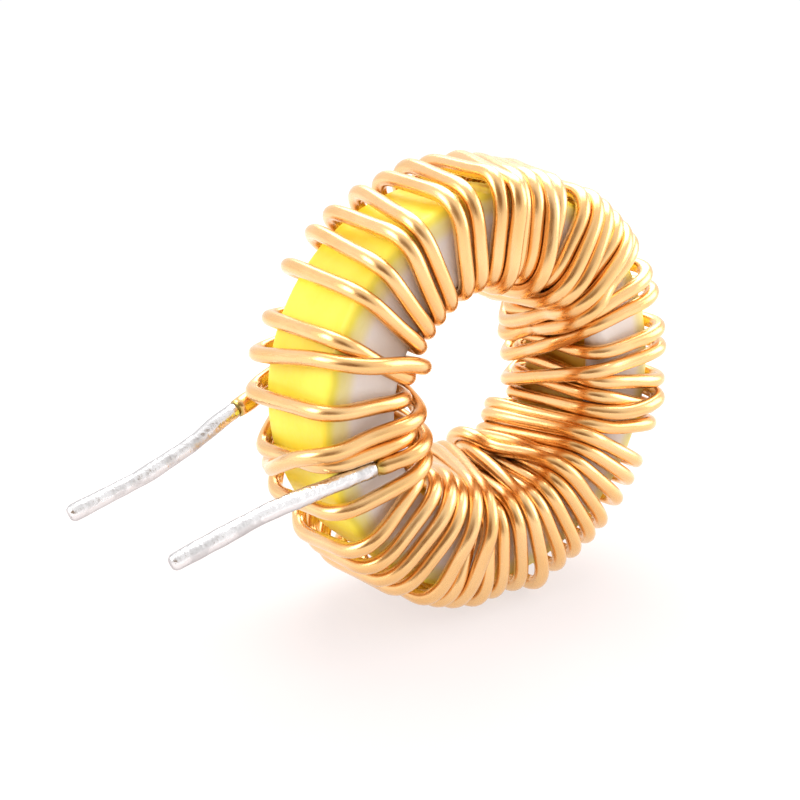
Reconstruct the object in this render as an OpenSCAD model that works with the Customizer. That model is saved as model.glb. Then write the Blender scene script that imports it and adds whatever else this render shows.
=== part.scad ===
// Toroidal inductor: one length of enamelled copper wire wound through a painted powder ring.
// The ring stands on its rim, its axis along Y, the white face towards -Y and both leads towards -X.
// Units are millimetres.

/* [Core] */
// Outer diameter of the powder ring
core_od = 20.2; // [19.6:0.1:20.8]
// Width of the ring between its outside and its hole
core_wall = 3.8; // [3.6:0.05:4]
// Length of the ring along its axis
core_height = 6.35; // [6.1:0.05:6.6]
// Radius of the rounding on every edge of the ring
core_edge = 0.7; // [0.5:0.05:0.8]
// Depth of the white paint on the front face
paint_depth = 0.08; // [0.05:0.01:0.12]

/* [Wire] */
// Diameter of the wire over its enamel
wire_d = 0.77; // [0.7:0.01:0.8]
// Diameter of the bare copper under the solder of the leads
bare_d = 0.7; // [0.64:0.01:0.71]
// Air left between the wire and the ring
lay_gap = 0.03; // [0.02:0.01:0.06]
// Flats around the wire
wire_sides = 8; // [6:1:8]

/* [Leads] */
// Thickness of the solder on the leads
solder = 0.04; // [0.03:0.01:0.08]
// Air between the bare copper and the solder
solder_gap = 0.01; // [0.01:0.005:0.03]
// How far a lump of solder stands out at each bend of the leads
lump = 0.03; // [0.02:0.01:0.06]
// Straight end of the front lead, from its last bend to its tip
front_end = 4.7; // [3:0.1:6]
// Straight end of the back lead, from its last bend to its tip
back_end = 3.7; // [2.5:0.1:5]

/* [Hidden] */
$fn = 96;

// Where each turn crosses the four edges of the ring, in degrees round the ring from +X:
// front rim, front edge of the hole, back edge of the hole, back rim. From the back rim the wire
// runs over the outside to the front rim of the next turn. Then the layer it was pressed into
// (0 on the ring, higher ones over lower ones) and, in steps of slack_step, how far it springs off
// each of the four edges.
TURNS = [
    [194, 192, 180, 206, 1, 0, 5, 5, 2],
    [202, 202, 194, 221, 2, 1, 4, 5, 3],
    [214, 210, 213, 226.5, 0, 2, 0, 0, 3],
    [221, 218, 226, 232.5, 0, 2, 3, 0, 4],
    [227.5, 226, 258, 238.5, 1, 2, 5, 4, 4],
    [233.5, 233.5, 266, 245, 2, 2, 5, 5, 3],
    [244, 241, 273.5, 251, 1, 2, 6, 7, 2],
    [249, 250, 257, 256, 0, 2, 0, 0, 2],
    [254, 252, 281, 261, 2, 2, 6, 7, 2],
    [261, 258.5, 265, 268, 0, 2, 0, 0, 1],
    [267.5, 267, 273, 276, 0, 1, 0, 0, 1],
    [275.5, 274, 289, 284, 1, 1, 2, 0, 3],
    [282, 281.5, 297, 291, 2, 3, 2, 0, 2],
    [290.5, 289.5, 293.5, 297, 0, 2, 0, 0, 2],
    [297, 297, 301, 303, 0, 2, 0, 0, 2],
    [303.5, 304.5, 308.5, 309, 0, 2, 0, 0, 2],
    [309.5, 310.5, 296.5, 317, 3, 2, 1, 0, 2],
    [318, 318, 304.5, 325, 1, 2, 0, 0, 2],
    [325, 325, 312, 331, 1, 2, 0, 3, 2],
    [331, 332, 319.5, 343, 1, 2, 0, 2, 2],
    [343.5, 337, 327, 348, 0, 2, 0, 5, 1],
    [348, 351.5, 351, 354, 0, 1, 0, 0, 1],
    [352.5, 344, 339, 358, 1, 1, 0, 0, 1],
    [357, 359, 363.5, 367, 0, 2, 0, 0, 1],
    [367, 365, 345, 373, 2, 2, 0, 0, 1],
    [373, 373.5, 376, 384, 0, 2, 0, 0, 1],
    [384.5, 388, 359.5, 391, 2, 2, 0, 0, 1],
    [391, 395.5, 388, 397.5, 0, 2, 0, 0, 1],
    [402, 399.5, 373.5, 401.7, 2, 2, 0, 0, 1],
    [406.5, 407, 382, 406, 3, 2, 0, 0, 1],
    [411, 410, 400, 410.3, 0, 2, 0, 0, 3],
    [416, 414.5, 407, 414.6, 1, 2, 0, 0, 4],
    [420.5, 421.5, 414.5, 419, 2, 2, 0, 0, 5],
    [425, 426, 411, 423.5, 0, 1, 0, 0, 5],
    [435, 433.5, 420, 428, 0, 1, 0, 0, 5],
    [439.5, 438, 424, 432.5, 1, 1, 0, 0, 4],
    [444, 441.5, 428, 437.5, 0, 1, 0, 0, 4],
    [448.5, 449, 436, 443.5, 0, 1, 0, 0, 4],
    [453, 455, 444, 452.5, 1, 1, 0, 0, 3],
    [456.5, 460.5, 452, 459.5, 0, 2, 0, 0, 3],
    [465, 468, 460, 467.3, 0, 1, 0, 0, 2],
    [470.5, 476, 468, 475.5, 0, 1, 0, 0, 2],
    [482, 485.5, 476, 485, 0, 0, 0, 0, 2],
    [487, 493.5, 485, 492, 0, 0, 0, 0, 2],
    [496, 501, 494, 503, 0, 0, 0, 0, 2],
    [504.5, 508.5, 504, 517.5, 0, 0, 0, 0, 1],
    [517, 522.5, 513, 527.5, 0, 0, 0, 0, 2],
    [522, 515.5, 521, 537.5, 1, 0, 3, 0, 2],
    [535, 531.5, 529, 553, 0, 0, 0, 0, 1],
    [548.5, 547.5, 541, 559, 1, 0, 2, 0, 1],
    [545, 539, 512, 545, 2, 0, 4, 3, 0]
];

// Place of the ring's centre over the middle of the part's footprint, on the floor
ring_x = 4.4;
ring_z = 11.245;

last_turn = len(TURNS) - 1;
core_r = core_od / 2;
hole_r = core_r - core_wall;
half_h = core_height / 2;
slack_step = 0.2;

// The loop one turn follows round the section of the ring: four bends joined by straight runs
bend_r = core_edge + wire_d / 2 + lay_gap;
face_run = core_r - hole_r - 2 * core_edge;
side_run = core_height - 2 * core_edge;
bend_run = bend_r * PI / 2;
runs = [face_run, side_run, face_run, side_run];
bends = [
    [core_r - core_edge, half_h - core_edge],
    [hole_r + core_edge, half_h - core_edge],
    [hole_r + core_edge, core_edge - half_h],
    [core_r - core_edge, core_edge - half_h]
];
marks = [
    0,
    bend_run + face_run,
    2 * bend_run + face_run + side_run,
    3 * bend_run + 2 * face_run + side_run,
    4 * bend_run + 2 * face_run + 2 * side_run
];
loop_run = marks[4];

// Leads, from the ring outwards: the point (X, Z) where the enamel stops, the points where the
// lead bends, and the slope of its straight end in degrees
front_bends = [[-7.9, -1.95], [-13.4, -2.85]];
front_slope = 196;
back_bends = [[-11.3, -0.42], [-12.3, -0.9], [-13.6, -1.75], [-16.3, -2.95]];
back_slope = 197;
bare_r = bare_d / 2;
bore_r = bare_r + solder_gap;
coat_r = bore_r + solder;
lead_y = half_h + coat_r + lump + lay_gap;

function wrap(a) = a - 360 * round(a / 360);
function unit(v) = v / norm(v);
function clamp(x, lo, hi) = min(max(x, lo), hi);

// Section of the loop at the distance s along it: [radius, height, normal out, normal up]
function leg_of(s) = s < marks[1] ? 0 : s < marks[2] ? 1 : s < marks[3] ? 2 : 3;
function loop_point(s) =
    let (
        c = leg_of(s),
        d = s - marks[c],
        past = d - bend_run / 2 - runs[c],
        a = d < bend_run / 2 ? 90 * c + 45 + 90 * d / bend_run
            : 90 * (c + 1) + 90 * max(past, 0) / bend_run,
        w = clamp((d - bend_run / 2) / runs[c], 0, 1),
        mid = bends[c] * (1 - w) + bends[(c + 1) % 4] * w
    )
    [mid[0] + bend_r * cos(a), mid[1] + bend_r * sin(a), cos(a), sin(a)];

// Angle round the ring of turn k at s. The wire is taut across the hole, so it is a chord there.
function edge_angle(k, c) = c < 4 ? TURNS[k][c] : TURNS[min(k + 1, last_turn)][0];
function turn_angle(k, s) =
    let (
        c = leg_of(s),
        w = (s - marks[c]) / (marks[c + 1] - marks[c]),
        a = edge_angle(k, c),
        half = (edge_angle(k, c + 1) - a) / 2,
        eased = (w + w * w * (3 - 2 * w)) / 2
    )
    c == 1 ? a + half + atan(tan(half) * (2 * w - 1)) : a + 2 * half * eased;

// Height of turn k over the loop when nothing lies under it
function edge_steps(k, c) = c < 4 ? TURNS[k][c + 5] : TURNS[min(k + 1, last_turn)][5];
function slack(k, s) =
    let (
        c = leg_of(s),
        w = (s - marks[c]) / (marks[c + 1] - marks[c]),
        a = edge_steps(k, c)
    )
    slack_step * (a + (edge_steps(k, c + 1) - a) * (1 - cos(180 * w)) / 2);
function own_lift(k, s) =
    let (
        c = leg_of(s),
        half = (edge_angle(k, c + 1) - edge_angle(k, c)) / 2,
        turned = turn_angle(k, s) - edge_angle(k, c) - half,
        chord = c == 1 ? (hole_r - wire_d / 2) * (1 - cos(half) / cos(turned)) : 0
    )
    chord + slack(k, s);

// Height of turn k once it lies on the turns of the layers below it
function lift(k, s) =
    let (
        r = loop_point(s)[0],
        a = turn_angle(k, s),
        over = [
            for (j = [0:last_turn])
                if (TURNS[j][4] < TURNS[k][4])
                    let (x = r * wrap(a - turn_angle(j, s)) * PI / 180)
                    if (abs(x) < wire_d) lift(j, s) + sqrt(wire_d * wire_d - x * x)
        ]
    )
    max(concat([own_lift(k, s)], over));

// The stops of one turn: three on each bend, one halfway along the front face and the hole
function bend_stops(c) = [marks[c] - bend_run / 2, marks[c], marks[c] + bend_run / 2];
stops = concat(
    [0, bend_run / 2, marks[1] / 2],
    bend_stops(1),
    [(marks[1] + marks[2]) / 2],
    bend_stops(2),
    bend_stops(3),
    [marks[4] - bend_run / 2]
);
// A stop in the middle of a bend is moved out, so the straight pieces clear the rounded edge
function is_mid(s) = min([for (m = marks) abs(s - m)]) < 0.001;
corner_out = bend_r * (1 / cos(22.5) - 1);

// A stop sits as high as the highest place this near to it along the wire
near = 0.45;
function seat(k, s) =
    max([for (q = [-1:0.5:1]) lift(k, clamp(s + near * q, 0, loop_run - 0.001))]);
function on_ring(k, s) =
    let (
        p = loop_point(s),
        h = seat(k, s) + (is_mid(s) ? corner_out : 0),
        a = turn_angle(k, s)
    )
    [[(p[0] + h * p[2]) * cos(a), -p[1] - h * p[3], (p[0] + h * p[2]) * sin(a)],
     [p[2] * cos(a), -p[3], p[2] * sin(a)]];

// A lead's centre line, moved in by `cut` at its start and stopped short of the tip by `short`
function heading(slope) = [cos(slope), sin(slope)];
function lead_line(bends_at, slope, run, cut, short) =
    [for (i = [0:len(bends_at)])
        i == 0 ? bends_at[0] + cut * unit(bends_at[1] - bends_at[0])
        : i < len(bends_at) ? bends_at[i]
        : bends_at[i - 1] + (run - short) * heading(slope)];

// Stations of the whole wire: [centre, normal, radius]. It narrows to bare copper over `skin`.
enamel_r = wire_d / 2;
skin = 0.05;
function lead_stations(bends_at, slope, run, y) =
    concat(
        [[[bends_at[0][0], y, bends_at[0][1]], [0, sign(y), 0], enamel_r]],
        [for (p = lead_line(bends_at, slope, run, skin, coat_r + solder_gap))
            [[p[0], y, p[1]], [0, sign(y), 0], bare_r]]
    );
function reversed(v) = [for (i = [len(v) - 1:-1:0]) v[i]];
front_line = reversed(lead_stations(front_bends, front_slope, front_end, -lead_y));
back_line = lead_stations(back_bends, back_slope, back_end, lead_y);
first_stop = 3;
back_rim_stop = 11;
ring_line = [
    for (k = [0:last_turn])
        for (i = [(k == 0 ? first_stop : 0):(k == last_turn ? back_rim_stop - 1 : len(stops) - 1)])
            concat(on_ring(k, stops[i]), [enamel_r])
];
line = concat(front_line, ring_line, back_line);

// Points round each station, a flat turned towards the ring
function tangent(i) =
    let (a = line[max(i - 1, 0)][0], b = line[min(i + 1, len(line) - 1)][0])
    unit(b - a);
function around(i) =
    let (
        t = tangent(i),
        side = unit(cross(t, line[i][1])),
        up = cross(side, t)
    )
    [for (j = [0:wire_sides - 1])
        let (a = 360 * (j + 0.5) / wire_sides)
        line[i][0] + line[i][2] * (cos(a) * up + sin(a) * side)];

module at_ring() {
    translate([ring_x, 0, ring_z])
        children();
}

module core() {
    color([0.93, 0.82, 0.2])
        at_ring()
            rotate([90, 0, 0])
                difference() {
                    rotate_extrude()
                        ring_section();
                    translate([0, 0, half_h - paint_depth])
                        face_paint();
                }
}

module ring_section() {
    translate([hole_r + core_edge, -half_h])
        square([core_r - hole_r - 2 * core_edge, core_height]);
    translate([hole_r, core_edge - half_h])
        square([core_r - hole_r, core_height - 2 * core_edge]);
    for (b = bends)
        translate(b)
            circle(core_edge);
}

module face_paint() {
    linear_extrude(paint_depth)
        difference() {
            circle(core_r - core_edge);
            circle(hole_r + core_edge);
        }
}

module white_face() {
    color([0.9, 0.88, 0.87])
        at_ring()
            rotate([90, 0, 0])
                translate([0, 0, half_h - paint_depth])
                    face_paint();
}

module winding() {
    n = len(line);
    m = wire_sides;
    color([0.85, 0.55, 0.3])
        at_ring()
            polyhedron(
                points = [for (i = [0:n - 1]) each around(i)],
                faces = concat(
                    [[for (j = [0:m - 1]) j]],
                    [for (i = [0:n - 2]) for (j = [0:m - 1])
                        each [[i * m + j, (i + 1) * m + (j + 1) % m, i * m + (j + 1) % m],
                              [i * m + j, (i + 1) * m + j, (i + 1) * m + (j + 1) % m]]],
                    [[for (j = [m - 1:-1:0]) (n - 1) * m + j]]
                ),
                convexity = 20
            );
}

// Puts something drawn along +Z at the point p of a lead, along the direction d
module along(p, d, y) {
    translate([p[0], y, p[1]])
        rotate([0, 90 - atan2(d[1], d[0]), 0])
            children();
}

module rods(points, r, y) {
    for (i = [0:len(points) - 2])
        along(points[i], points[i + 1] - points[i], y)
            cylinder(h = norm(points[i + 1] - points[i]), r = r);
}

module balls(points, r, y) {
    for (p = points)
        along(p, [1, 0], y)
            sphere(r);
}

module round_tipped(h, r) {
    rotate_extrude() {
        square([r, h - r]);
        translate([0, h - r])
            intersection() {
                circle(r);
                square(r);
            }
    }
}

// Solder over the bare copper of a lead: a closed sleeve with a lump at each bend and a round tip
module solder_coat(bends_at, slope, run, y) {
    last = len(bends_at) - 1;
    start = bends_at[0] + (skin + solder_gap) * unit(bends_at[1] - bends_at[0]);
    joints = [for (i = [1:last]) bends_at[i]];
    color([0.75, 0.76, 0.78])
        at_ring()
            difference() {
                union() {
                    rods(concat([start], joints), coat_r, y);
                    balls(joints, coat_r + lump, y);
                    along(bends_at[last], heading(slope), y)
                        round_tipped(run, coat_r);
                }
                rods(lead_line(bends_at, slope, run, 0, coat_r), bore_r, y);
                balls(joints, bore_r + lump / 2, y);
            }
}

module front_lead_solder() {
    solder_coat(front_bends, front_slope, front_end, -lead_y);
}

module back_lead_solder() {
    solder_coat(back_bends, back_slope, back_end, lead_y);
}

core();
white_face();
winding();
front_lead_solder();
back_lead_solder();
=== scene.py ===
"""Toroidal inductor in a pale studio: painted powder ring, copper winding, tinned leads."""
import logging
import math
from dataclasses import dataclass, field
from enum import Enum

import bpy
import numpy as np
from mathutils import Matrix, Vector


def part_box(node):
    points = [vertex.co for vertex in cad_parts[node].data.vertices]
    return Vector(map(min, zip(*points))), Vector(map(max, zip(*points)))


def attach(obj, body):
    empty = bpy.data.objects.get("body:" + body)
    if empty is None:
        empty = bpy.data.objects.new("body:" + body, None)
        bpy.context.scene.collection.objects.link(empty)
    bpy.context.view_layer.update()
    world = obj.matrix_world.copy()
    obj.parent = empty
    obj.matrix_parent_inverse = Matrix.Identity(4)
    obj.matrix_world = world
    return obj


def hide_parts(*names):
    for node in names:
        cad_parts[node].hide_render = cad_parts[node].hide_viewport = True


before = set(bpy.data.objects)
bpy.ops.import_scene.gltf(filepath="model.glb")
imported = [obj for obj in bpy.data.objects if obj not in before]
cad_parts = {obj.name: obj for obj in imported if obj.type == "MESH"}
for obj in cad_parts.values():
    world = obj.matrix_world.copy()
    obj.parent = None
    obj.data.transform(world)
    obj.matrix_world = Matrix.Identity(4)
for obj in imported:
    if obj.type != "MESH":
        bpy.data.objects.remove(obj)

log = logging.getLogger("inductor")
MM = 0.001
FIRST_SEED = 3
WHITE = (1.0, 1.0, 1.0)

Colour = tuple[float, float, float]
Point = tuple[float, float, float]
Pair = tuple[float, float]
Socket = bpy.types.NodeSocket


# ---------------------------------------------------------------- shader helpers


class Graph:
    """Short calls that add and join the nodes of one shader tree."""

    def __init__(self, tree: bpy.types.NodeTree) -> None:
        """Wraps the node tree of a material, world or group."""
        self.tree = tree

    def node(self, kind: str, inputs: dict | None = None, **settings: object) -> bpy.types.Node:
        """Adds a node.

        Args:
            kind: Blender's identifier of the node type.
            inputs: values or output sockets by input name or number.
            settings: attributes of the node itself.

        Returns:
            The new node.
        """
        made = self.tree.nodes.new(kind)
        for name, value in settings.items():
            setattr(made, name, value)
        for name, value in (inputs or {}).items():
            self.feed(made.inputs[name], value)
        return made

    def feed(self, socket: Socket, value: object) -> None:
        """Sets an input socket, or links an output socket to it.

        Args:
            socket: the input.
            value: a number, a tuple or an output socket.
        """
        if isinstance(value, Socket):
            self.tree.links.new(value, socket)
        else:
            socket.default_value = value

    def math(self, operation: str, *values: object) -> Socket:
        """Adds a Math node with its inputs in order, and gives its output."""
        made = self.node("ShaderNodeMath", dict(enumerate(values)), operation=operation)
        return made.outputs[0]

    def ramp(
        self, value: object, low: float, high: float, start: float = 0.0, end: float = 1.0
    ) -> Socket:
        """Maps a value smoothly from one range to another.

        Args:
            value: a number or socket.
            low: the lower end of the inputs.
            high: the upper end of the inputs.
            start: the output at `low`.
            end: the output at `high`.

        Returns:
            The mapped value's socket.
        """
        inputs = {0: value, 1: low, 2: high, 3: start, 4: end}
        made = self.node("ShaderNodeMapRange", inputs, interpolation_type="SMOOTHSTEP")
        return made.outputs[0]

    def mix(self, factor: object, first: object, second: object) -> Socket:
        """Mixes two colours.

        Args:
            factor: share of the second colour.
            first: a colour or socket.
            second: a colour or socket.

        Returns:
            The mixed colour's socket.
        """
        made = self.node("ShaderNodeMix", data_type="RGBA")
        self.feed(made.inputs["Factor"], factor)
        self.feed(made.inputs["A"], first)
        self.feed(made.inputs["B"], second)
        return made.outputs["Result"]

    def group(self, group: bpy.types.NodeTree, inputs: dict) -> bpy.types.Node:
        """Places a shader group.

        Args:
            group: the node group.
            inputs: values or sockets by input name.

        Returns:
            The group node.
        """
        made = self.tree.nodes.new("ShaderNodeGroup")
        made.node_tree = group
        for name, value in inputs.items():
            self.feed(made.inputs[name], value)
        return made


def rgba(colour: Colour) -> tuple[float, float, float, float]:
    """Adds full opacity to a colour."""
    return (*colour, 1.0)


def new_group(
    name: str, inputs: dict[str, str], outputs: dict[str, str]
) -> tuple[bpy.types.NodeTree, Graph, bpy.types.Node, bpy.types.Node]:
    """Starts a shader group with its sockets.

    Args:
        name: the group's name.
        inputs: socket kinds by input name.
        outputs: socket kinds by output name.

    Returns:
        The group, its graph, and its input and output nodes.
    """
    tree = bpy.data.node_groups.new(name, "ShaderNodeTree")
    for label, kind in inputs.items():
        tree.interface.new_socket(name=label, in_out="INPUT", socket_type=kind)
    for label, kind in outputs.items():
        tree.interface.new_socket(name=label, in_out="OUTPUT", socket_type=kind)
    graph = Graph(tree)
    return tree, graph, graph.node("NodeGroupInput"), graph.node("NodeGroupOutput")


FLOAT, VECTOR = "NodeSocketFloat", "NodeSocketVector"
NOISE_SPAN = (0.3, 0.7)
NOISE_DETAIL = {"Tone": 3.0, "Grain": 2.0}
TONE_RELIEF = 0.6


def mottle_group() -> bpy.types.NodeTree:
    """Builds the unevenness of a brushed, dipped or sprayed film.

    Returns:
        A group with a slow Tone, a fine Grain and a Height, each from 0 to 1.
    """
    tree, graph, given, result = new_group(
        "film_mottle",
        {"Vector": VECTOR, "Tone Scale": FLOAT, "Grain Scale": FLOAT},
        {"Tone": FLOAT, "Grain": FLOAT, "Height": FLOAT},
    )
    place = given.outputs["Vector"]
    shades = {}
    for name, detail in NOISE_DETAIL.items():
        inputs = {"Vector": place, "Scale": given.outputs[f"{name} Scale"], "Detail": detail}
        noise = graph.node("ShaderNodeTexNoise", inputs)
        shades[name] = graph.ramp(noise.outputs["Fac"], *NOISE_SPAN)
        graph.feed(result.inputs[name], shades[name])
    slow = graph.math("MULTIPLY", shades["Tone"], TONE_RELIEF)
    fine = graph.math("MULTIPLY", shades["Grain"], 1 - TONE_RELIEF)
    graph.feed(result.inputs["Height"], graph.math("ADD", slow, fine))
    return tree


def zone_group() -> bpy.types.NodeTree:
    """Builds the mask of a round zone of the ring, for paint that changes at its edge.

    Returns:
        A group whose Inside is 1 nearer than Radius to an axis along Y, and fades over Fade.
    """
    tree, graph, given, result = new_group(
        "round_zone",
        {"Vector": VECTOR, "Centre": VECTOR, "Radius": FLOAT, "Fade": FLOAT},
        {"Inside": FLOAT},
    )
    kind = "ShaderNodeVectorMath"
    ends = {0: given.outputs["Vector"], 1: given.outputs["Centre"]}
    offset = graph.node(kind, ends, operation="SUBTRACT").outputs[0]
    flat = graph.node(kind, {0: offset, 1: (1.0, 0.0, 1.0)}, operation="MULTIPLY").outputs[0]
    length = graph.node(kind, {0: flat}, operation="LENGTH").outputs["Value"]
    short = graph.math("SUBTRACT", given.outputs["Radius"], length)
    share = graph.math("DIVIDE", short, given.outputs["Fade"])
    graph.feed(result.inputs["Inside"], graph.ramp(share, -1.0, 0.0))
    return tree


@dataclass
class Effects:
    """The shader groups that several materials use, built once."""

    mottle: bpy.types.NodeTree = field(default_factory=mottle_group)
    zone: bpy.types.NodeTree = field(default_factory=zone_group)


def principled(
    name: str, **constants: object
) -> tuple[bpy.types.Material, Graph, bpy.types.Node]:
    """Starts a material.

    Args:
        name: the material's name.
        constants: values of the shader's own sockets, with _ for a space in the name.

    Returns:
        The material, its graph and its Principled BSDF.
    """
    material = bpy.data.materials.new(name)
    material.use_nodes = True
    graph = Graph(material.node_tree)
    shader = material.node_tree.nodes["Principled BSDF"]
    for label, value in constants.items():
        shader.inputs[label.replace("_", " ")].default_value = value
    return material, graph, shader


def bump(graph: Graph, shader: bpy.types.Node, height: object, depth: float) -> None:
    """Gives a material relief from a height of 0 to 1, with its depth in metres."""
    made = graph.node("ShaderNodeBump", {"Height": height, "Distance": depth, "Strength": 1.0})
    graph.feed(shader.inputs["Normal"], made.outputs["Normal"])


# ---------------------------------------------------------------- finishes

# The yellow under thin spray, darkened as painted shade of the rounded front edge, and the
# white's share where the front face meets its rounded edge.
THIN_SPRAY_AND_EDGE_SHADE = (0.86, 0.76, 0.085)
EDGE_COVER = 0.4


@dataclass(frozen=True)
class Finish:
    """A surface whose tone, grain and relief are uneven."""

    tone_scale: float
    grain_scale: float
    relief: float
    roughness: float
    rough_span: Pair = (0.0, 0.0)

    def film(self, graph: Graph, effects: Effects) -> tuple[Socket, dict[str, Socket]]:
        """Places the film's unevenness.

        Args:
            graph: the material's graph.
            effects: the shared shader groups.

        Returns:
            The place on the object, and the film's outputs by name.
        """
        place = graph.node("ShaderNodeTexCoord").outputs["Object"]
        scales = {"Tone Scale": self.tone_scale, "Grain Scale": self.grain_scale}
        made = graph.group(effects.mottle, {"Vector": place, **scales})
        return place, {output.name: output for output in made.outputs}

    def close(
        self, graph: Graph, shader: bpy.types.Node, colour: Socket, shade: Socket, height: Socket
    ) -> None:
        """Joins the colour, the roughness and the relief to the shader.

        Args:
            graph: the material's graph.
            shader: its Principled BSDF.
            colour: the base colour.
            shade: runs from 0 to 1 as the roughness runs over its span.
            height: the relief from 0 to 1.
        """
        graph.feed(shader.inputs["Base Color"], colour)
        low, high = (self.roughness + part for part in self.rough_span)
        graph.feed(shader.inputs["Roughness"], graph.ramp(shade, 0.0, 1.0, low, high))
        bump(graph, shader, height, self.relief)


@dataclass(frozen=True)
class YellowPaint(Finish):
    """The satin epoxy paint on the powder ring."""

    tone_scale: float = 420.0
    grain_scale: float = 5200.0
    relief: float = 0.004 * MM
    roughness: float = 0.42
    rough_span: Pair = (-0.05, 0.08)
    colour: Colour = (1.0, 0.90, 0.085)
    deep: Colour = (1.0, 0.81, 0.045)
    # Painted shade and painted copper-coloured reflected light: the yellow turns to this orange
    # inside the hole.
    painted_glow: Colour = (0.86, 0.55, 0.05)
    spray: Colour = (0.89, 0.86, 0.85)
    spray_start: float = 0.45 * MM
    spray_full: float = 0.25 * MM
    ragged: float = 0.1 * MM
    deeper: float = 0.7 * MM

    def make(
        self, effects: Effects, centre: Vector, front: float, inner: float
    ) -> bpy.types.Material:
        """Builds the material.

        Args:
            effects: the shared shader groups.
            centre: the ring's centre.
            front: the Y of the ring's front face, whose white spray runs over the rounded edges.
            inner: the radius where the front face rounds over into the hole.

        Returns:
            The paint.
        """
        material, graph, shader = principled("yellow_paint", Metallic=0.0, IOR=1.45)
        place, film = self.film(graph, effects)
        outside = graph.mix(film["Tone"], rgba(self.deep), rgba(self.colour))
        zone = {"Centre": tuple(centre), "Radius": inner, "Fade": self.deeper}
        hole = graph.group(effects.zone, {"Vector": place, **zone}).outputs["Inside"]
        # Inside the hole, the yellow fades to painted shade and painted copper-coloured reflected
        # light.
        yellow = graph.mix(hole, outside, rgba(self.painted_glow))
        depth = graph.node("ShaderNodeSeparateXYZ", {0: place}).outputs["Y"]
        drift = graph.math("MULTIPLY", film["Tone"], self.ragged)
        reach = graph.math("MULTIPLY", hole, self.deeper)
        seen = graph.math("SUBTRACT", graph.math("ADD", depth, drift), reach)
        full = front + self.spray_full
        sprayed = graph.ramp(seen, full, front + self.spray_start, 1.0, 0.0)
        cover = graph.math("MAXIMUM", graph.ramp(seen, front, full, EDGE_COVER, 0.0), hole)
        # Towards the front face, the rounded edge shows the thin-sprayed yellow, darkened as
        # painted shade.
        thin = graph.mix(cover, rgba(THIN_SPRAY_AND_EDGE_SHADE), rgba(self.spray))
        colour = graph.mix(sprayed, yellow, thin)
        self.close(graph, shader, colour, film["Grain"], film["Height"])
        return material


@dataclass(frozen=True)
class WhiteFacePaint(Finish):
    """The thin white spray on the front face, which lets the yellow show at the outer edge,
    darkened there as painted shade.
    """

    tone_scale: float = 520.0
    grain_scale: float = 6500.0
    relief: float = 0.005 * MM
    roughness: float = 0.5
    rough_span: Pair = (-0.06, 0.08)
    colour: Colour = (0.90, 0.875, 0.87)
    thin: Colour = (0.87, 0.84, 0.825)
    fade: float = 0.65 * MM

    def make(self, effects: Effects, centre: Vector, outer: float) -> bpy.types.Material:
        """Builds the material.

        Args:
            effects: the shared shader groups.
            centre: the ring's centre.
            outer: the radius of the sprayed face.

        Returns:
            The paint.
        """
        material, graph, shader = principled("white_face_paint", Metallic=0.0, IOR=1.48)
        place, film = self.film(graph, effects)
        white = graph.mix(film["Tone"], rgba(self.thin), rgba(self.colour))
        zone = {"Centre": tuple(centre), "Radius": outer - self.fade, "Fade": self.fade}
        inward = graph.group(effects.zone, {"Vector": place, **zone}).outputs["Inside"]
        cover = graph.math("MULTIPLY_ADD", inward, 1.0 - EDGE_COVER, EDGE_COVER)
        # At the outer rim, the face shows the thin-sprayed yellow, darkened as painted shade.
        colour = graph.mix(cover, rgba(THIN_SPRAY_AND_EDGE_SHADE), white)
        self.close(graph, shader, colour, film["Grain"], film["Height"])
        return material


@dataclass(frozen=True)
class EnamelledCopper(Finish):
    """Drawn copper under clear amber enamel."""

    tone_scale: float = 300.0
    grain_scale: float = 2600.0
    relief: float = 0.0016 * MM
    roughness: float = 0.27
    rough_span: Pair = (-0.03, 0.05)
    colour: Colour = (0.935, 0.61, 0.28)
    deep: Colour = (0.885, 0.53, 0.20)
    amber: Colour = (0.62, 0.44, 0.10)
    amber_start: Pair = (0.2, 0.6)
    amber_end: Pair = (1.9, 1.1)
    coat: float = 0.7
    coat_roughness: float = 0.2
    coat_ior: float = 1.55
    coat_tint: Colour = (1.0, 0.95, 0.88)
    draw_ratio: float = 14.0
    draw_scale: float = 0.9
    draw_detail: float = 2.0
    draw_span: Pair = (0.35, 0.65)

    def make(self, effects: Effects, length: float) -> bpy.types.Material:
        """Builds the material.

        Args:
            effects: the shared shader groups.
            length: the wire's length in millimetres, whose scorched enamel is amber at both ends.

        Returns:
            The enamelled wire's material.
        """
        material, graph, shader = principled(
            "enamelled_copper",
            Metallic=1.0,
            Coat_Weight=self.coat,
            Coat_Roughness=self.coat_roughness,
            Coat_IOR=self.coat_ior,
            Coat_Tint=rgba(self.coat_tint),
        )
        _, film = self.film(graph, effects)
        along = graph.node("ShaderNodeUVMap", uv_map="wire").outputs["UV"]
        stretch = {0: along, 1: (1.0, self.draw_ratio, 1.0)}
        stretched = graph.node("ShaderNodeVectorMath", stretch, operation="MULTIPLY").outputs[0]
        noise = {"Vector": stretched, "Scale": self.draw_scale, "Detail": self.draw_detail}
        drawn = graph.node("ShaderNodeTexNoise", noise).outputs["Fac"]
        lines = graph.ramp(drawn, *self.draw_span)
        copper = graph.mix(film["Tone"], rgba(self.deep), rgba(self.colour))
        distance = graph.node("ShaderNodeSeparateXYZ", {0: along}).outputs["X"]
        near_start = graph.ramp(distance, *self.amber_start, 1.0, 0.0)
        near_end = graph.ramp(distance, *(length - back for back in self.amber_end))
        scorched = graph.math("ADD", near_start, near_end)
        colour = graph.mix(scorched, copper, rgba(self.amber))
        self.close(graph, shader, colour, lines, lines)
        return material


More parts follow.
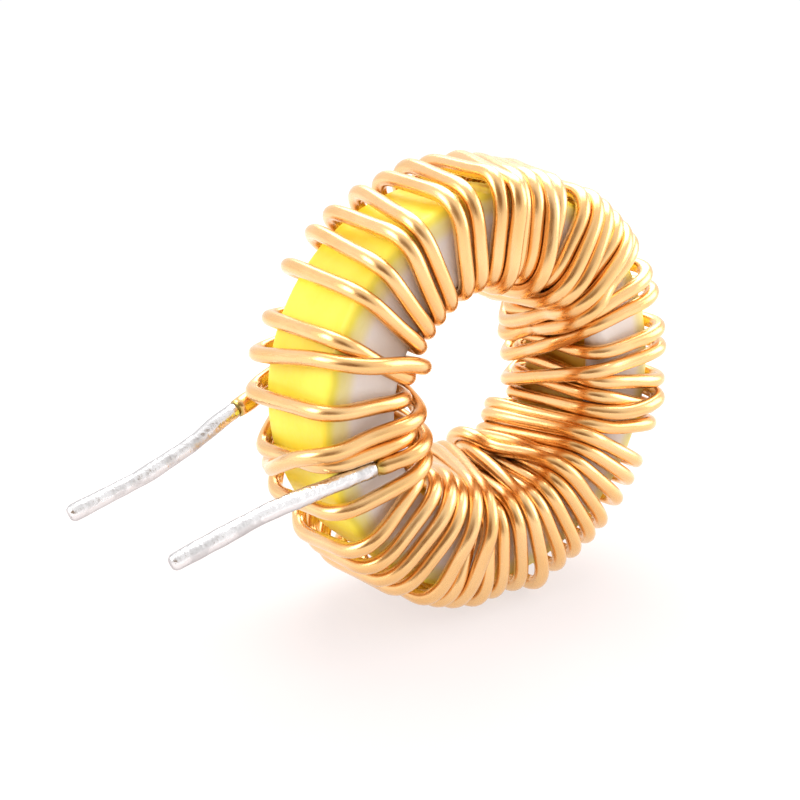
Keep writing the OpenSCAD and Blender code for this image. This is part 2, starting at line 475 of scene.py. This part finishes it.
@dataclass(frozen=True)
class TinCoat(Finish):
    """Dipped solder: bright where it is smooth, grey and grainy where it froze slowly, and greyer
    towards its outline as painted shade.
    """

    tone_scale: float = 900.0
    grain_scale: float = 4800.0
    relief: float = 0.03 * MM
    roughness: float = 0.24
    rough_span: Pair = (0.12, 0.0)
    colour: Colour = (0.85, 0.835, 0.84)
    dull: Colour = (0.65, 0.64, 0.645)
    # Painted shade: the grey that the solder turns to towards its outline as seen.
    edge: Colour = (0.60, 0.59, 0.60)
    grazing: Colour = (0.8, 0.79, 0.8)
    bright_span: Pair = (0.1, 0.6)
    edge_span: Pair = (0.2, 0.8)

    def make(self, effects: Effects) -> bpy.types.Material:
        """Builds the material.

        Args:
            effects: the shared shader groups.

        Returns:
            The solder's material.
        """
        tint = rgba(self.grazing)
        material, graph, shader = principled("tin_coat", Metallic=1.0, Specular_Tint=tint)
        _, film = self.film(graph, effects)
        bright = graph.ramp(film["Tone"], *self.bright_span)
        # Towards its outline as seen, the solder greys as painted shade.
        across = graph.node("ShaderNodeLayerWeight", {"Blend": 0.5}).outputs["Facing"]
        surface = graph.mix(bright, rgba(self.dull), rgba(self.colour))
        colour = graph.mix(graph.ramp(across, *self.edge_span), surface, rgba(self.edge))
        self.close(graph, shader, colour, bright, film["Height"])
        return material


@dataclass(frozen=True)
class PaperFloor(Finish):
    """The pale seamless paper under and behind the part, which glows as painted light: brighter
    and whiter away from it, weaker and pinker near it as painted warm shade.
    """

    tone_scale: float = 12.0
    grain_scale: float = 900.0
    relief: float = 0.01 * MM
    roughness: float = 0.9
    # The paper's own colour is dark; most of its brightness is its painted glow.
    colour: Colour = (0.22, 0.20, 0.195)
    uneven: float = 1.01
    # Painted warm shade: the pink that the paper's glow turns to near the part.
    tint: Colour = (1.0, 0.95, 0.945)
    flood: Pair = (18 * MM, 36 * MM)
    painted_glow: Pair = (0.70, 0.85)

    def make(self, effects: Effects) -> bpy.types.Material:
        """Builds the material.

        Args:
            effects: the shared shader groups.

        Returns:
            The paper's material.
        """
        material, graph, shader = principled("studio_paper", Roughness=self.roughness)
        place, film = self.film(graph, effects)
        away = graph.node("ShaderNodeVectorMath", {0: place}, operation="LENGTH").outputs["Value"]
        flood = graph.ramp(away, *self.flood)
        # Painted light: the paper glows, weaker and pinker near the part as painted warm shade,
        # which also lightens the part's shadow.
        painted_glow = graph.mix(flood, rgba(self.tint), rgba(WHITE))
        graph.feed(shader.inputs["Emission Color"], painted_glow)
        graph.feed(shader.inputs["Emission Strength"], graph.ramp(flood, 0.0, 1.0, *self.painted_glow))
        pale = tuple(part * self.uneven for part in self.colour)
        colour = graph.mix(film["Tone"], rgba(self.colour), rgba(pale))
        graph.feed(shader.inputs["Base Color"], colour)
        bump(graph, shader, film["Height"], self.relief)
        return material


# ---------------------------------------------------------------- mesh helpers

# The direction that the seam of a tube sets out in.
SEAM = np.array([0.0, 1.0, 0.0])


def travelled(path: np.ndarray) -> np.ndarray:
    """Gives the distance along a path at each of its points."""
    return np.concatenate([[0.0], np.cumsum(np.linalg.norm(np.diff(path, axis=0), axis=1))])


def tube(name: str, path: np.ndarray, radii: np.ndarray, sides: int) -> bpy.types.Object:
    """Sweeps a closed round tube along a path, with a UV map of length and angle.

    Args:
        name: the new object's name.
        path: centres, one row each, in metres.
        radii: the radius at each centre.
        sides: points round the tube.

    Returns:
        The tube.
    """
    steps = np.gradient(path, axis=0)
    along = steps / np.linalg.norm(steps, axis=1)[:, None]
    normals = np.empty_like(path)
    normal = SEAM
    for i, direction in enumerate(along):
        normal = normal - direction * float(normal @ direction)
        normal = normal / np.linalg.norm(normal)
        normals[i] = normal
    across = np.cross(along, normals)
    angles = np.arange(sides) * (2 * math.pi / sides)
    rounds = (
        np.cos(angles)[None, :, None] * normals[:, None, :]
        + np.sin(angles)[None, :, None] * across[:, None, :]
    )
    points = (path[:, None, :] + radii[:, None, None] * rounds).reshape(-1, 3)
    count = len(path)
    ring = np.arange(count - 1).repeat(sides)
    spoke = np.tile(np.arange(sides), count - 1)
    nearer, further = ring * sides, (ring + 1) * sides
    turned = (spoke + 1) % sides
    quads = np.stack([nearer + spoke, nearer + turned, further + turned, further + spoke], 1)
    caps = [tuple(reversed(range(sides))), tuple((count - 1) * sides + j for j in range(sides))]
    mesh = bpy.data.meshes.new(name)
    mesh.from_pydata(points.tolist(), [], quads.tolist() + caps)
    layer = mesh.uv_layers.new(name="wire")
    lengths = travelled(path) / MM
    uv = np.zeros((len(mesh.loops), 2), dtype=np.float32)
    start, end = lengths[ring], lengths[ring + 1]
    uv[: quads.size, 0] = np.stack([start, start, end, end], 1).ravel()
    uv[: quads.size, 1] = (np.stack([spoke, spoke + 1, spoke + 1, spoke], 1) / sides).ravel()
    layer.data.foreach_set("uv", uv.ravel())
    mesh.polygons.foreach_set("use_smooth", [True] * len(mesh.polygons))
    mesh.validate()
    mesh.update()
    piece = bpy.data.objects.new(name, mesh)
    bpy.context.collection.objects.link(piece)
    return piece


def resample(path: np.ndarray, spacing: float) -> np.ndarray:
    """Spreads the points of a path evenly.

    Args:
        path: points, one row each.
        spacing: wanted distance between neighbours.

    Returns:
        The path with even spacing and the same ends.
    """
    lengths = travelled(path)
    wanted = np.linspace(0.0, lengths[-1], int(lengths[-1] / spacing) + 1)
    return np.stack([np.interp(wanted, lengths, path[:, axis]) for axis in range(3)], 1)


def smooth(values: np.ndarray, rounds: int) -> np.ndarray:
    """Averages each row with its neighbours, with the ends held.

    Args:
        values: rows along a path.
        rounds: how often it is done.

    Returns:
        The smoothed rows.
    """
    for _ in range(rounds):
        inner = 0.25 * values[:-2] + 0.5 * values[1:-1] + 0.25 * values[2:]
        values = np.concatenate([values[:1], inner, values[-1:]])
    return values


# ---------------------------------------------------------------- the part


@dataclass
class Ring:
    """The painted powder ring, measured on its CAD nodes."""

    core: bpy.types.Object = field(default_factory=lambda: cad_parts["core"])
    face: bpy.types.Object = field(default_factory=lambda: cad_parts["white_face"])
    centre: Vector = field(init=False)
    outer_r: float = field(init=False)
    hole_r: float = field(init=False)
    half_h: float = field(init=False)
    edge_r: float = field(init=False)

    def __post_init__(self) -> None:
        """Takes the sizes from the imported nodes."""
        low, high = (Vector(corner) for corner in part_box("core"))
        face_low, face_high = (Vector(corner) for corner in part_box("white_face"))
        self.centre = (low + high) / 2
        self.outer_r = (high.x - low.x) / 2
        self.half_h = (high.y - low.y) / 2
        self.edge_r = self.outer_r - (face_high.x - face_low.x) / 2
        x, _, z = self.centre
        self.hole_r = min(math.hypot(v.co.x - x, v.co.z - z) for v in self.core.data.vertices)

    def dress(self, effects: Effects) -> None:
        """Paints the CAD nodes.

        Args:
            effects: the shared shader groups.
        """
        white = WhiteFacePaint().make(effects, self.centre, self.outer_r - self.edge_r)
        front = self.centre.y - self.half_h
        yellow = YellowPaint().make(effects, self.centre, front, self.hole_r + self.edge_r)
        for node, paint in ((self.core, yellow), (self.face, white)):
            node.data.materials.clear()
            node.data.materials.append(paint)
            log.info("%s painted with %s", node.name, paint.name)


class Side(Enum):
    """The face of the ring that a lead leaves from."""

    FRONT = -1
    BACK = 1


# Where each turn crosses the four edges of the ring, in degrees round the ring from +X: front
# rim, front edge of the hole, back edge of the hole, back rim. Then its layer (0 on the ring,
# higher ones over lower ones) and, in steps of Winding.slack, how far it springs off each edge.
TURNS = (
    (194, 192, 180, 206, 1, 0, 5, 5, 2),
    (202, 202, 194, 221, 2, 1, 4, 5, 3),
    (214, 210, 213, 226.5, 0, 2, 0, 0, 3),
    (221, 218, 226, 232.5, 0, 2, 3, 0, 4),
    (227.5, 226, 258, 238.5, 1, 2, 5, 4, 4),
    (233.5, 233.5, 266, 245, 2, 2, 5, 5, 3),
    (244, 241, 273.5, 251, 1, 2, 6, 7, 2),
    (249, 250, 257, 256, 0, 2, 0, 0, 2),
    (254, 252, 281, 261, 2, 2, 6, 7, 2),
    (261, 258.5, 265, 268, 0, 2, 0, 0, 1),
    (267.5, 267, 273, 276, 0, 1, 0, 0, 1),
    (275.5, 274, 289, 284, 1, 1, 2, 0, 3),
    (282, 281.5, 297, 291, 2, 3, 2, 0, 2),
    (290.5, 289.5, 293.5, 297, 0, 2, 0, 0, 2),
    (297, 297, 301, 303, 0, 2, 0, 0, 2),
    (303.5, 304.5, 308.5, 309, 0, 2, 0, 0, 2),
    (309.5, 310.5, 296.5, 317, 3, 2, 1, 0, 2),
    (318, 318, 304.5, 325, 1, 2, 0, 0, 2),
    (325, 325, 312, 331, 1, 2, 0, 3, 2),
    (331, 332, 319.5, 343, 1, 2, 0, 2, 2),
    (343.5, 337, 327, 348, 0, 2, 0, 5, 1),
    (348, 351.5, 351, 354, 0, 1, 0, 0, 1),
    (352.5, 344, 339, 358, 1, 1, 0, 0, 1),
    (357, 359, 363.5, 367, 0, 2, 0, 0, 1),
    (367, 365, 345, 373, 2, 2, 0, 0, 1),
    (373, 373.5, 376, 384, 0, 2, 0, 0, 1),
    (384.5, 388, 359.5, 391, 2, 2, 0, 0, 1),
    (391, 395.5, 388, 397.5, 0, 2, 0, 0, 1),
    (402, 399.5, 373.5, 401.7, 2, 2, 0, 0, 1),
    (406.5, 407, 382, 406, 3, 2, 0, 0, 1),
    (411, 410, 400, 410.3, 0, 2, 0, 0, 3),
    (416, 414.5, 407, 414.6, 1, 2, 0, 0, 4),
    (420.5, 421.5, 414.5, 419, 2, 2, 0, 0, 5),
    (425, 426, 411, 423.5, 0, 1, 0, 0, 5),
    (435, 433.5, 420, 428, 0, 1, 0, 0, 5),
    (439.5, 438, 424, 432.5, 1, 1, 0, 0, 4),
    (444, 441.5, 428, 437.5, 0, 1, 0, 0, 4),
    (448.5, 449, 436, 443.5, 0, 1, 0, 0, 4),
    (453, 455, 444, 452.5, 1, 1, 0, 0, 3),
    (456.5, 460.5, 452, 459.5, 0, 2, 0, 0, 3),
    (465, 468, 460, 467.3, 0, 1, 0, 0, 2),
    (470.5, 476, 468, 475.5, 0, 1, 0, 0, 2),
    (482, 485.5, 476, 485, 0, 0, 0, 0, 2),
    (487, 493.5, 485, 492, 0, 0, 0, 0, 2),
    (496, 501, 494, 503, 0, 0, 0, 0, 2),
    (504.5, 508.5, 504, 517.5, 0, 0, 0, 0, 1),
    (517, 522.5, 513, 527.5, 0, 0, 0, 0, 2),
    (522, 515.5, 521, 537.5, 1, 0, 3, 0, 2),
    (535, 531.5, 529, 553, 0, 0, 0, 0, 1),
    (548.5, 547.5, 541, 559, 1, 0, 2, 0, 1),
    (545, 539, 512, 545, 2, 0, 4, 3, 0),
)


@dataclass(frozen=True)
class Lead:
    """One tinned end of the wire, drawn in the plane beside its face of the ring.

    Its bends are points from the ring's centre, along X and Z. The last stretch runs on at a
    slope in degrees.
    """

    side: Side
    node: str
    bends: tuple[Pair, ...]
    slope: float
    end: float
    clear: float = 0.46 * MM

    def centres(self, ring: Ring) -> np.ndarray:
        """Gives the points the lead runs through.

        Args:
            ring: the ring it leaves.

        Returns:
            Points from the end of the enamel to the tip.
        """
        angle = math.radians(self.slope)
        across, up = self.bends[-1]
        tip = (across + self.end * math.cos(angle), up + self.end * math.sin(angle))
        x, y, z = ring.centre
        y += self.side.value * (ring.half_h + self.clear)
        return np.array([(x + u, y, z + v) for u, v in (*self.bends, tip)])


FRONT_LEAD = Lead(
    side=Side.FRONT,
    node="front_lead_solder",
    bends=((-7.9 * MM, -1.95 * MM), (-13.4 * MM, -2.85 * MM)),
    slope=196,
    end=4.7 * MM,
)
BACK_LEAD = Lead(
    side=Side.BACK,
    node="back_lead_solder",
    bends=(
        (-11.3 * MM, -0.42 * MM),
        (-12.3 * MM, -0.9 * MM),
        (-13.6 * MM, -1.75 * MM),
        (-16.3 * MM, -2.95 * MM),
    ),
    slope=197,
    end=3.7 * MM,
)


@dataclass
class Winding:
    """The single length of wire: its turns round the ring and its two ends.

    A turn is laid along a loop, which is the section of the ring grown by half a wire. The loop
    has four legs, from one edge of the ring to the next: front face, hole, back face and outside.
    """

    ring: Ring
    front: Lead
    back: Lead
    wire_d: float = 0.77 * MM
    gap: float = 0.03 * MM
    samples: int = 72
    spacing: float = 0.3 * MM
    sides: int = 16
    slack: float = 0.2 * MM
    ease_rounds: int = 6
    press_rounds: int = 120
    relist_rounds: int = 20
    relax_rounds: int = 2
    over_push: float = 1.3
    press_reach: float = 1.7
    same_stretch: float = 2.5
    block: int = 400
    front_bead: Pair = (0.8 * MM, 0.06 * MM)
    back_bead: Pair = (1.5 * MM, 0.11 * MM)
    bead_lip: float = 0.9
    bend_r: float = field(init=False)
    bend_run: float = field(init=False)
    runs: np.ndarray = field(init=False)
    bends: np.ndarray = field(init=False)
    marks: np.ndarray = field(init=False)
    edges: np.ndarray = field(init=False)
    layers: np.ndarray = field(init=False)
    steps: np.ndarray = field(init=False)

    def __post_init__(self) -> None:
        """Works out the loop, and reads the table of turns."""
        ring = self.ring
        self.bend_r = ring.edge_r + self.wire_d / 2 + self.gap
        self.bend_run = self.bend_r * math.pi / 2
        out, inn = ring.outer_r - ring.edge_r, ring.hole_r + ring.edge_r
        up = ring.half_h - ring.edge_r
        self.runs = np.array([out - inn, 2 * up, out - inn, 2 * up])
        self.bends = np.array([(out, up), (inn, up), (inn, -up), (out, -up)])
        self.marks = np.concatenate([[0.0], np.cumsum(self.bend_run + self.runs)])
        table = np.array(TURNS, dtype=float)
        nexts = np.concatenate([table[1:], table[-1:]])
        self.edges = np.column_stack([table[:, :4], nexts[:, 0]])
        self.layers = table[:, 4].astype(int)
        self.steps = np.column_stack([table[:, 5:], nexts[:, 5]])

    def legs(self, s: np.ndarray) -> tuple[np.ndarray, np.ndarray]:
        """Finds distances along the loop on its legs.

        Args:
            s: distances along the loop.

        Returns:
            The leg of each, and its share of the way from the leg's first edge to the next.
        """
        leg = np.clip(np.searchsorted(self.marks, s, side="right") - 1, 0, 3)
        return leg, (s - self.marks[leg]) / (self.marks[leg + 1] - self.marks[leg])

    def loop(self, s: np.ndarray) -> np.ndarray:
        """Gives the section of the loop.

        Args:
            s: distances along it.

        Returns:
            Rows of radius, height towards the front, and the outward normal of both.
        """
        leg, _ = self.legs(s)
        run = s - self.marks[leg]
        half = self.bend_run / 2
        past = np.maximum(run - half - self.runs[leg], 0.0)
        early = 90 * leg + 45 + 90 * run / self.bend_run
        late = 90 * (leg + 1) + 90 * past / self.bend_run
        angle = np.radians(np.where(run < half, early, late))
        share = np.clip((run - half) / self.runs[leg], 0, 1)[:, None]
        middle = self.bends[leg] * (1 - share) + self.bends[(leg + 1) % 4] * share
        normal = np.stack([np.cos(angle), np.sin(angle)], 1)
        return np.concatenate([middle + self.bend_r * normal, normal], 1)

    def angles(self, s: np.ndarray) -> np.ndarray:
        """Gives where each turn is round the ring: straight through the hole, eased elsewhere.

        Args:
            s: distances along the loop.

        Returns:
            One row of angles in degrees for each turn.
        """
        leg, share = self.legs(s)
        first, last = self.edges[:, leg], self.edges[:, leg + 1]
        eased = (share + share * share * (3 - 2 * share)) / 2
        half = np.radians((last - first) / 2)
        chord = (first + last) / 2 + np.degrees(np.arctan(np.tan(half) * (2 * share - 1)))
        return np.where(leg == 1, chord, first + (last - first) * eased)

    def own_lifts(self, s: np.ndarray, angles: np.ndarray) -> np.ndarray:
        """Gives each turn's height over the loop with nothing under it.

        Args:
            s: distances along the loop.
            angles: what `angles` gives for them.

        Returns:
            One row of heights for each turn.
        """
        middle = (self.edges[:, 1] + self.edges[:, 2])[:, None] / 2
        half = np.radians(self.edges[:, 2] - self.edges[:, 1])[:, None] / 2
        rise = 1 - np.cos(half) / np.cos(np.radians(angles - middle))
        leg, share = self.legs(s)
        lifts = np.where(leg == 1, (self.ring.hole_r - self.wire_d / 2) * rise, 0.0)
        eased = (1 - np.cos(math.pi * share)) / 2
        steps = self.steps[:, leg] * (1 - eased) + self.steps[:, leg + 1] * eased
        return lifts + self.slack * steps

    def lifts(self, s: np.ndarray, radii: np.ndarray, angles: np.ndarray) -> np.ndarray:
        """Lays each layer of turns over the lower ones.

        Args:
            s: distances along the loop.
            radii: the loop's radius at each.
            angles: one row of angles for each turn.

        Returns:
            One row of heights over the loop for each turn.
        """
        lifts = self.own_lifts(s, angles)
        for layer in range(1, self.layers.max() + 1):
            lower = np.flatnonzero(self.layers < layer)
            for turn in np.flatnonzero(self.layers == layer):
                apart = (angles[turn] - angles[lower] + 180) % 360 - 180
                side = radii * np.radians(apart)
                ride = lifts[lower] + np.sqrt(np.maximum(self.wire_d**2 - side**2, 0.0))
                ride = np.where(np.abs(side) < self.wire_d, ride, 0.0)
                lifts[turn] = np.maximum(lifts[turn], ride.max(axis=0))
        return lifts

    def laid(self) -> np.ndarray:
        """Lays the turns side by side and over each other.

        Returns:
            Points of all the turns in order, in the part's frame.
        """
        s = (np.arange(self.samples) + 0.5) / self.samples * self.marks[4]
        loop = self.loop(s)
        angles = self.angles(s)
        lifts = self.lifts(s, loop[:, 0], angles)
        radius = loop[:, 0] + lifts * loop[:, 2]
        height = loop[:, 1] + lifts * loop[:, 3]
        turned = np.radians(angles)
        centre = self.ring.centre
        across = centre.x + radius * np.cos(turned)
        up = centre.z + radius * np.sin(turned)
        points = np.stack([across, centre.y - height, up], 2)
        start = int(np.searchsorted(s, self.marks[1] - self.bend_run / 2))
        stop = int(np.searchsorted(s, self.marks[3] - self.bend_run / 2))
        return np.concatenate([points[0, start:], *points[1:-1], points[-1, :stop]])

    def clear_of_ring(self, path: np.ndarray) -> np.ndarray:
        """Pushes points out of the ring.

        Args:
            path: wire centres.

        Returns:
            The centres, none nearer to the ring than the wire's own radius and gap.
        """
        ring = self.ring
        x, y, z = (path - np.array(ring.centre)).T
        radius = np.hypot(x, z)
        middle = (ring.outer_r + ring.hole_r) / 2
        half_width = (ring.outer_r - ring.hole_r) / 2 - ring.edge_r
        off = np.stack([radius - middle, y], 1)
        limit = np.array([half_width, ring.half_h - ring.edge_r])
        outside = off - np.clip(off, -limit, limit)
        distance = np.linalg.norm(outside, axis=1)
        push = np.where(distance > 1e-9, np.maximum(self.bend_r - distance, 0.0), 0.0)
        step = outside / np.maximum(distance, 1e-9)[:, None] * push[:, None]
        spoke = np.stack([x / radius, np.zeros_like(x), z / radius], 1)
        return path + spoke * step[:, :1] + np.array([0.0, 1.0, 0.0]) * step[:, 1:]

    def touching(self, path: np.ndarray, reach: float) -> tuple[np.ndarray, np.ndarray]:
        """Finds points of different stretches of the wire that lie close together.

        Args:
            path: wire centres.
            reach: the largest distance to report.

        Returns:
            The first and the second point of each pair.
        """
        apart = int(self.same_stretch * self.wire_d / self.spacing)
        firsts, seconds = [], []
        for start in range(0, len(path), self.block):
            gaps = path[start : start + self.block, None, :] - path[None, :, :]
            near = np.einsum("ijk,ijk->ij", gaps, gaps) < reach * reach
            first, second = np.nonzero(near)
            first = first + start
            keep = second - first > apart
            firsts.append(first[keep])
            seconds.append(second[keep])
        return np.concatenate(firsts), np.concatenate(seconds)

    def pressed(self, path: np.ndarray) -> np.ndarray:
        """Presses the turns apart for a fixed number of rounds, so that they share less space.

        Args:
            path: wire centres as laid.

        Returns:
            Centres a wire's thickness apart, close to where they were laid.
        """
        moved = path.copy()
        reach = self.press_reach * self.wire_d
        first, second = self.touching(moved, reach)
        for done in range(1, self.press_rounds + 1):
            if done % self.relist_rounds == 0:
                first, second = self.touching(moved, reach)
            gap = moved[first] - moved[second]
            distance = np.linalg.norm(gap, axis=1)
            close = distance < self.wire_d
            a, b = first[close], second[close]
            push = gap[close] / distance[close, None] * (self.wire_d - distance[close, None]) / 2
            total = np.zeros_like(moved)
            count = np.full(len(moved), 1e-9)
            np.add.at(total, a, push)
            np.add.at(total, b, -push)
            np.add.at(count, a, 1.0)
            np.add.at(count, b, 1.0)
            moved = moved + total / np.maximum(count, 1.0)[:, None] * self.over_push
            moved = path + smooth(moved - path, self.relax_rounds)
            moved = self.clear_of_ring(moved)
            moved[:, 2] = np.maximum(moved[:, 2], self.wire_d / 2)
        log.info("winding: turns moved by up to %.2f mm", np.abs(moved - path).max() / MM)
        return moved

    def route(self) -> tuple[np.ndarray, np.ndarray]:
        """Joins the turns to the two leads.

        Returns:
            The wire's centres from the front lead to the back lead, and the radius at each.
        """
        front, back = (lead.centres(self.ring)[:1] for lead in (self.front, self.back))
        rough = resample(np.concatenate([front, self.laid(), back]), self.spacing)
        path = self.pressed(smooth(rough, self.ease_rounds))
        radii = np.full(len(path), self.wire_d / 2)
        inward = np.arange(len(path)) * self.spacing
        for (length, rise), inside in ((self.front_bead, inward), (self.back_bead, inward[::-1])):
            swell = self.bead_lip * np.clip(1 - inside / length, 0, 1)
            radii = radii + rise * np.sqrt(np.sin(math.pi * swell))
        return path, radii

    def build(self, effects: Effects) -> None:
        """Makes the wire, which stands for its CAD node.

        Args:
            effects: the shared shader groups.
        """
        path, radii = self.route()
        piece = tube("copper_winding", path, radii, self.sides)
        length = len(path) * self.spacing
        piece.data.materials.append(EnamelledCopper().make(effects, length / MM))
        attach(piece, "root")
        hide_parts("winding")
        log.info("%s: %d rings, %.2f m of wire", piece.name, len(path), length)


@dataclass
class TinnedEnd:
    """The solder on one lead, from the end of the enamel to the rounded tip."""

    lead: Lead
    ring: Ring
    seed: int
    radius: float = 0.4 * MM
    lump: float = 0.014 * MM
    lump_length: float = 3.68 * MM
    lump_waves: int = 4
    tip_length: float = 0.24 * MM
    tip_square: float = 0.55
    neck: float = 0.86
    neck_length: float = 0.25 * MM
    spacing: float = 0.12 * MM
    ease_rounds: int = 30
    sides: int = 20

    def radii(self, s: np.ndarray) -> np.ndarray:
        """Gives the solder's radius: a neck at the enamel, lumps, and a rounded tip.

        Args:
            s: distances from the end of the enamel, up to the tip.

        Returns:
            The radius at each.
        """
        draw = np.random.default_rng(self.seed)
        phases = draw.uniform(0, 2 * math.pi, self.lump_waves)
        waves = sum(
            np.sin(2 * math.pi * s * n / self.lump_length + phase) / n
            for n, phase in enumerate(phases, 1)
        )
        tip = np.clip(1 - (s[-1] - s) / self.tip_length, 0, 1)
        neck = self.neck + (1 - self.neck) * np.clip(s / self.neck_length, 0, 1)
        return (self.radius + self.lump * waves) * np.sqrt(1 - self.tip_square * tip**2) * neck

    def build(self, paint: bpy.types.Material) -> None:
        """Makes the solder, which stands for its CAD node.

        Args:
            paint: the solder's material.
        """
        path = smooth(resample(self.lead.centres(self.ring), self.spacing), self.ease_rounds)
        s = np.arange(len(path)) * self.spacing
        piece = tube(f"{self.lead.node}_coat", path, self.radii(s), self.sides)
        piece.data.materials.append(paint)
        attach(piece, "root")
        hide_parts(self.lead.node)
        log.info("%s: %.1f mm of solder", piece.name, s[-1] / MM)


# ---------------------------------------------------------------- the studio


@dataclass(frozen=True)
class Lamp:
    """A square softbox aimed at the part."""

    name: str
    offset: Point
    size: float
    power: float
    colour: Colour

    def hang(self, target: Vector) -> None:
        """Hangs the lamp.

        Args:
            target: the point that it is aimed at and placed from.
        """
        data = bpy.data.lights.new(self.name, "AREA")
        data.size = self.size
        data.energy = self.power
        data.color = self.colour
        lamp = bpy.data.objects.new(self.name, data)
        lamp.location = target + Vector(self.offset)
        lamp.rotation_euler = (target - lamp.location).to_track_quat("-Z", "Y").to_euler()
        bpy.context.collection.objects.link(lamp)
        log.info("studio: %s of %.2f W", self.name, self.power)


@dataclass
class Studio:
    """Pale paper, soft light and the camera."""

    target: Vector
    azimuth: float = -33.84
    elevation: float = 16.39
    lens: float = 48.2
    sensor: float = 36.0
    clip: Pair = (1 * MM, 10.0)
    shift: Point = (3.454 * MM, -0.899 * MM, 55.27 * MM)
    floor_reach: float = 0.9
    room: Colour = (1.0, 0.99, 0.985)
    room_span: Pair = (-0.2, 0.8)
    room_light: float = 1.03
    card: Colour = (0.24, 0.14, 0.07)
    card_side: Point = (-0.72, -0.62, 0.1)
    card_span: Pair = (0.55, 0.95)
    lamps: tuple[Lamp, ...] = (
        Lamp("top_softbox", (0.05, 0.06, 0.16), 0.18, 0.42, (1.0, 0.98, 0.96)),
        Lamp("side_softbox", (0.16, -0.10, 0.08), 0.14, 0.19, (1.0, 0.98, 0.95)),
        Lamp("left_softbox", (-0.15, 0.05, 0.07), 0.1, 0.13, (1.0, 0.99, 0.97)),
    )

    def paper(self, effects: Effects) -> None:
        """Lays the seamless paper: one flat sheet.

        Args:
            effects: the shared shader groups.
        """
        reach = self.floor_reach
        mesh = bpy.data.meshes.new("studio_paper")
        corners = [(-reach, -reach, 0), (reach, -reach, 0), (reach, reach, 0), (-reach, reach, 0)]
        mesh.from_pydata(corners, [], [(0, 1, 2, 3)])
        floor = bpy.data.objects.new("studio_paper", mesh)
        bpy.context.collection.objects.link(floor)
        floor.data.materials.append(PaperFloor().make(effects))
        log.info("studio: %s laid", floor.name)

    def sky(self) -> None:
        """Lights the room from all round, with a dark card that only the part reflects."""
        world = bpy.data.worlds.new("soft_room")
        bpy.context.scene.world = world
        world.use_nodes = True
        graph = Graph(world.node_tree)
        background = world.node_tree.nodes["Background"]
        direction = graph.node("ShaderNodeTexCoord").outputs["Generated"]
        up = graph.node("ShaderNodeSeparateXYZ", {0: direction}).outputs["Z"]
        toward = graph.node(
            "ShaderNodeVectorMath", {0: direction, 1: self.card_side}, operation="DOT_PRODUCT"
        ).outputs["Value"]
        room = graph.mix(graph.ramp(up, *self.room_span), rgba(self.room), rgba(WHITE))
        tone = graph.mix(graph.ramp(toward, *self.card_span), room, rgba(self.card))
        direct = graph.node("ShaderNodeLightPath").outputs["Is Camera Ray"]
        graph.feed(background.inputs["Color"], graph.mix(direct, tone, rgba(WHITE)))
        background.inputs["Strength"].default_value = self.room_light

    def camera(self) -> None:
        """Places the camera and makes it the scene's."""
        turn, rise = math.radians(self.azimuth), math.radians(self.elevation)
        level = math.cos(rise)
        back = Vector((math.sin(turn) * level, -math.cos(turn) * level, math.sin(rise)))
        right = Vector((math.cos(turn), math.sin(turn), 0))
        up = back.cross(right)
        data = bpy.data.cameras.new("camera")
        data.lens = self.lens
        data.sensor_width = self.sensor
        data.clip_start, data.clip_end = self.clip
        camera = bpy.data.objects.new("camera", data)
        bpy.context.collection.objects.link(camera)
        aside, above, away = self.shift
        camera.matrix_world = (
            Matrix.Translation(self.target - right * aside + up * above + back * away)
            @ Matrix((right, up, back)).transposed().to_4x4()
        )
        bpy.context.scene.camera = camera

    def build(self, effects: Effects) -> None:
        """Sets up the whole studio.

        Args:
            effects: the shared shader groups.
        """
        self.camera()
        self.paper(effects)
        self.sky()
        for lamp in self.lamps:
            lamp.hang(self.target)
        view = bpy.context.scene.view_settings
        view.view_transform = "Standard"
        view.look = "None"


def main() -> None:
    """Dresses the part and sets up the studio around it."""
    logging.basicConfig(level=logging.INFO, format="%(message)s")
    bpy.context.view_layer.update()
    effects = Effects()
    ring = Ring()
    ring.dress(effects)
    Winding(ring, FRONT_LEAD, BACK_LEAD).build(effects)
    tin = TinCoat().make(effects)
    for seed, lead in enumerate((FRONT_LEAD, BACK_LEAD), FIRST_SEED):
        TinnedEnd(lead, ring, seed).build(tin)
    Studio(ring.centre).build(effects)


if __name__ == "__main__":
    main()
